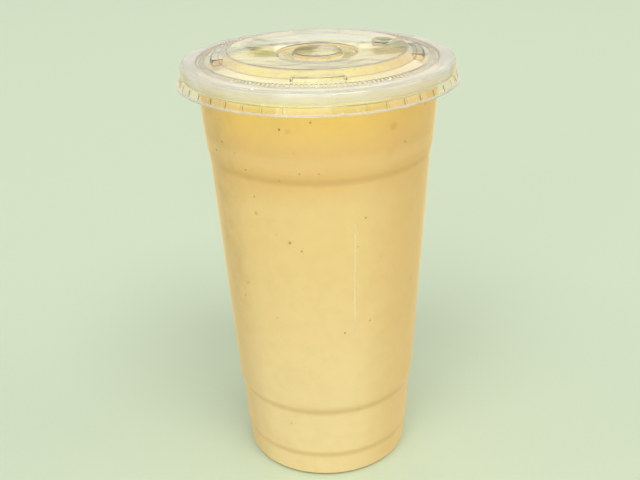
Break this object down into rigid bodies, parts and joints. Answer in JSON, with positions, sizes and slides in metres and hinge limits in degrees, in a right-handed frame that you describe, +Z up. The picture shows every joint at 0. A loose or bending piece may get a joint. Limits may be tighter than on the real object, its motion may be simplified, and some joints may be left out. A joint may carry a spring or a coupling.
{
  "type": "pina colada",
  "caption": "Takeaway pina colada: a tall clear tapered plastic cup filled with creamy yellow drink, closed by a flat clear press-fit lid with a raised round panel.",
  "frame": {"origin": "centre of the ring that the cup stands on", "axes": "+Z up along the cup's axis, -Y towards the side that faces the viewer, +X to the right"},
  "size_m": [0.1024, 0.1024, 0.1649],
  "materials": {
    "cup": "clear, glossy, thin",
    "lid": "clear, glossy, thin",
    "drink": "opaque creamy liquid"
  },
  "bodies": {
    "root": {"cup": "cup", "lid": "lid", "drink": "drink"}
  },
  "joints": []
}
